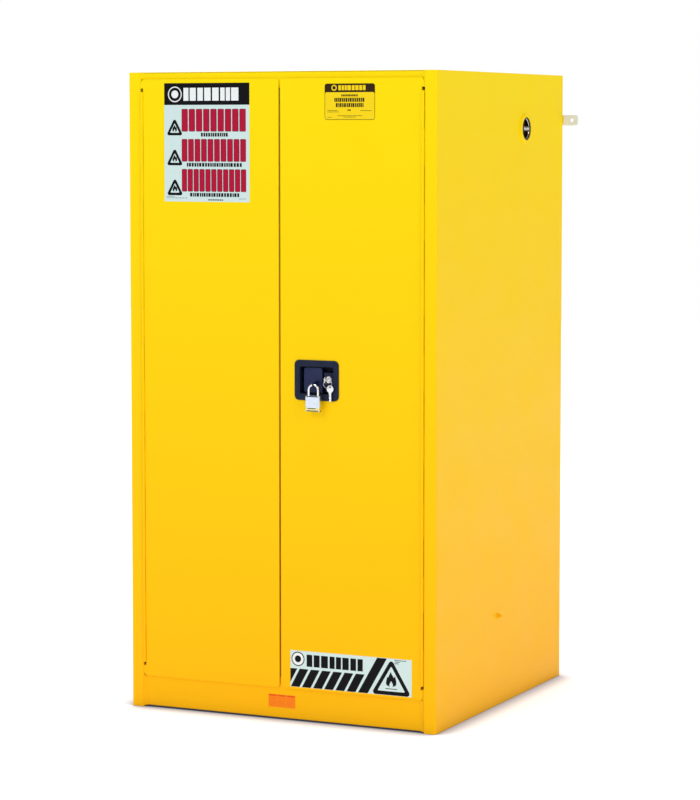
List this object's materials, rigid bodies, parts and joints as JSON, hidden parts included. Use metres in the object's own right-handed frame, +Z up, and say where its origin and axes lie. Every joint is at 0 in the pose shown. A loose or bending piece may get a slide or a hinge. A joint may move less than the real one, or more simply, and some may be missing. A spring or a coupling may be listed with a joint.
{
  "type": "flammable storage cabinet",
  "caption": "Free-standing double-wall steel safety cabinet with two hinged doors, a recessed paddle latch, shelves, a sump and side vents.",
  "frame": {"origin": "middle of the bounding box's underside, on the floor", "axes": "+Z up, doors face -Y, +X to the right of someone facing the doors"},
  "size_m": [0.95, 0.8928, 1.651],
  "materials": {
    "door_paint": "safety-yellow powder coat, satin",
    "body_paint": "safety-yellow powder coat, satin",
    "inner_paint": "safety-yellow powder coat, satin",
    "zinc_plate": "zinc plated, dull",
    "bare_steel": "bare steel",
    "polished_steel": "polished",
    "laminated_steel": "laminated plates, ground edges",
    "key_metal": "nickel-plated brass",
    "dark_plastic": "blue-black, fine grain",
    "label_film": "vinyl label"
  },
  "bodies": {
    "root": {"side_panel_left": "body_paint", "side_panel_right": "body_paint", "rear_panel": "door_paint", "top_panel": "door_paint", "base_panel": "inner_paint", "header_rail": "door_paint", "kick_panel": "door_paint", "inner_side_left": "inner_paint", "inner_side_right": "inner_paint", "inner_back": "inner_paint", "inner_top": "inner_paint", "sump_pan": "inner_paint", "shelf_ledge_lower_left": "zinc_plate", "shelf_ledge_lower_right": "zinc_plate", "shelf_ledge_upper_left": "zinc_plate", "shelf_ledge_upper_right": "zinc_plate", "vent_collar_left": "body_paint", "vent_collar_right": "body_paint", "vent_screen_left": "bare_steel", "vent_screen_right": "bare_steel", "ground_screw": "bare_steel", "wall_tab_left": "zinc_plate", "wall_tab_right": "zinc_plate", "hinge_frame_leaf_left": "door_paint", "hinge_frame_leaf_right": "door_paint", "hinge_pin_left": "bare_steel", "hinge_pin_right": "bare_steel"},
    "left_door": {"left_door_skin": "door_paint", "left_door_liner": "inner_paint", "hinge_door_leaf_left": "door_paint"},
    "right_door": {"right_door_skin": "door_paint", "right_door_liner": "inner_paint", "hinge_door_leaf_right": "door_paint", "handle_dish": "dark_plastic", "paddle_pin": "bare_steel", "paddle_spring": "bare_steel", "rod_guide_top": "zinc_plate", "rod_guide_bottom": "zinc_plate", "lock_housing": "dark_plastic"},
    "paddle": {"paddle": "dark_plastic"},
    "crank": {"crank_plate": "zinc_plate"},
    "rod_top": {"latch_rod_top": "zinc_plate"},
    "rod_bottom": {"latch_rod_bottom": "zinc_plate"},
    "bolt": {"centre_bolt": "zinc_plate"},
    "lock_cylinder": {"lock_cylinder": "polished_steel"},
    "lock_key": {"lock_key": "key_metal"},
    "key_ring": {"key_ring": "bare_steel"},
    "spare_key": {"spare_key": "key_metal"},
    "padlock_shackle": {"padlock_shackle": "polished_steel"},
    "padlock_body": {"padlock_body": "laminated_steel"},
    "shelf_lower": {"shelf_lower": "zinc_plate"},
    "shelf_upper": {"shelf_upper": "zinc_plate"},
    "vent_plug_left": {"vent_plug_left": "dark_plastic"},
    "vent_plug_right": {"vent_plug_right": "dark_plastic"},
    "foot_front_left": {"levelling_foot_front_left": "bare_steel"},
    "foot_front_right": {"levelling_foot_front_right": "bare_steel"},
    "foot_rear_left": {"levelling_foot_rear_left": "bare_steel"},
    "foot_rear_right": {"levelling_foot_rear_right": "bare_steel"}
  },
  "joints": [
    {"name": "right_door_swing", "type": "hinge", "parent": "root", "child": "right_door", "pos_m": [0.395, -0.4219, 0.86], "axis": [0, 0, 1], "range_deg": [0, 170]},
    {"name": "left_door_swing", "type": "hinge", "parent": "root", "child": "left_door", "pos_m": [-0.395, -0.4219, 0.86], "axis": [0, 0, -1], "range_deg": [0, 170]},
    {"name": "paddle_pull", "type": "hinge", "parent": "right_door", "child": "paddle", "pos_m": [0.113, -0.4084, 0.875], "axis": [0, 0, 1], "range_deg": [0, 30], "stiffness_Nm_per_rad": 0.5, "springref_deg": -5.73},
    {"name": "crank_turn", "type": "hinge", "parent": "right_door", "child": "crank", "pos_m": [0.1045, -0.3849, 0.875], "axis": [0, -1, 0], "range_deg": [0, 30.01]},
    {"name": "rod_top_slide", "type": "slide", "parent": "right_door", "child": "rod_top", "axis": [0, 0, -1], "range_m": [0, 0.0125]},
    {"name": "rod_bottom_slide", "type": "slide", "parent": "right_door", "child": "rod_bottom", "axis": [0, 0, 1], "range_m": [0, 0.0125]},
    {"name": "centre_bolt_slide", "type": "slide", "parent": "right_door", "child": "bolt", "axis": [1, 0, 0], "range_m": [0, 0.0125]},
    {"name": "lock_turn", "type": "hinge", "parent": "right_door", "child": "lock_cylinder", "pos_m": [0.1355, -0.4209, 0.8775], "axis": [0, -1, 0], "range_deg": [0, 90]},
    {"name": "key_slide", "type": "slide", "parent": "lock_cylinder", "child": "lock_key", "axis": [0, -1, 0], "range_m": [0, 0.025]},
    {"name": "key_ring_swing", "type": "hinge", "parent": "lock_key", "child": "key_ring", "pos_m": [0.1355, -0.4379, 0.8775], "axis": [-1, 0, 0], "range_deg": [-4, 10]},
    {"name": "spare_key_swing", "type": "hinge", "parent": "key_ring", "child": "spare_key", "pos_m": [0.14508, -0.42832, 0.86016], "axis": [0, -1, 0], "range_deg": [0, 25]},
    {"name": "padlock_swing", "type": "hinge", "parent": "paddle", "child": "padlock_shackle", "pos_m": [0.1035, -0.4389, 0.8655], "axis": [-1, 0, 0], "range_deg": [0, 20]},
    {"name": "padlock_release", "type": "slide", "parent": "padlock_shackle", "child": "padlock_body", "axis": [0, 0, -1], "range_m": [0, 0.007]},
    {"name": "shelf_lower_lift", "type": "slide", "parent": "root", "child": "shelf_lower", "axis": [0, 0, 1], "range_m": [0, 0.025]},
    {"name": "shelf_upper_lift", "type": "slide", "parent": "root", "child": "shelf_upper", "axis": [0, 0, 1], "range_m": [0, 0.025]},
    {"name": "vent_plug_left_out", "type": "slide", "parent": "root", "child": "vent_plug_left", "axis": [-1, 0, 0], "range_m": [0, 0.03]},
    {"name": "vent_plug_right_out", "type": "slide", "parent": "root", "child": "vent_plug_right", "axis": [1, 0, 0], "range_m": [0, 0.03]},
    {"name": "foot_front_left_down", "type": "slide", "parent": "root", "child": "foot_front_left", "axis": [0, 0, -1], "range_m": [0, 0.015]},
    {"name": "foot_front_right_down", "type": "slide", "parent": "root", "child": "foot_front_right", "axis": [0, 0, -1], "range_m": [0, 0.015]},
    {"name": "foot_rear_left_down", "type": "slide", "parent": "root", "child": "foot_rear_left", "axis": [0, 0, -1], "range_m": [0, 0.015]},
    {"name": "foot_rear_right_down", "type": "slide", "parent": "root", "child": "foot_rear_right", "axis": [0, 0, -1], "range_m": [0, 0.015]}
  ],
  "couplings": [
    {"joint": "crank_turn", "follows": "paddle_pull", "ratio": 1},
    {"joint": "rod_top_slide", "follows": "paddle_pull", "m_per_rad": 0.023727},
    {"joint": "rod_bottom_slide", "follows": "paddle_pull", "m_per_rad": 0.023727},
    {"joint": "centre_bolt_slide", "follows": "paddle_pull", "m_per_rad": 0.023727}
  ]
}
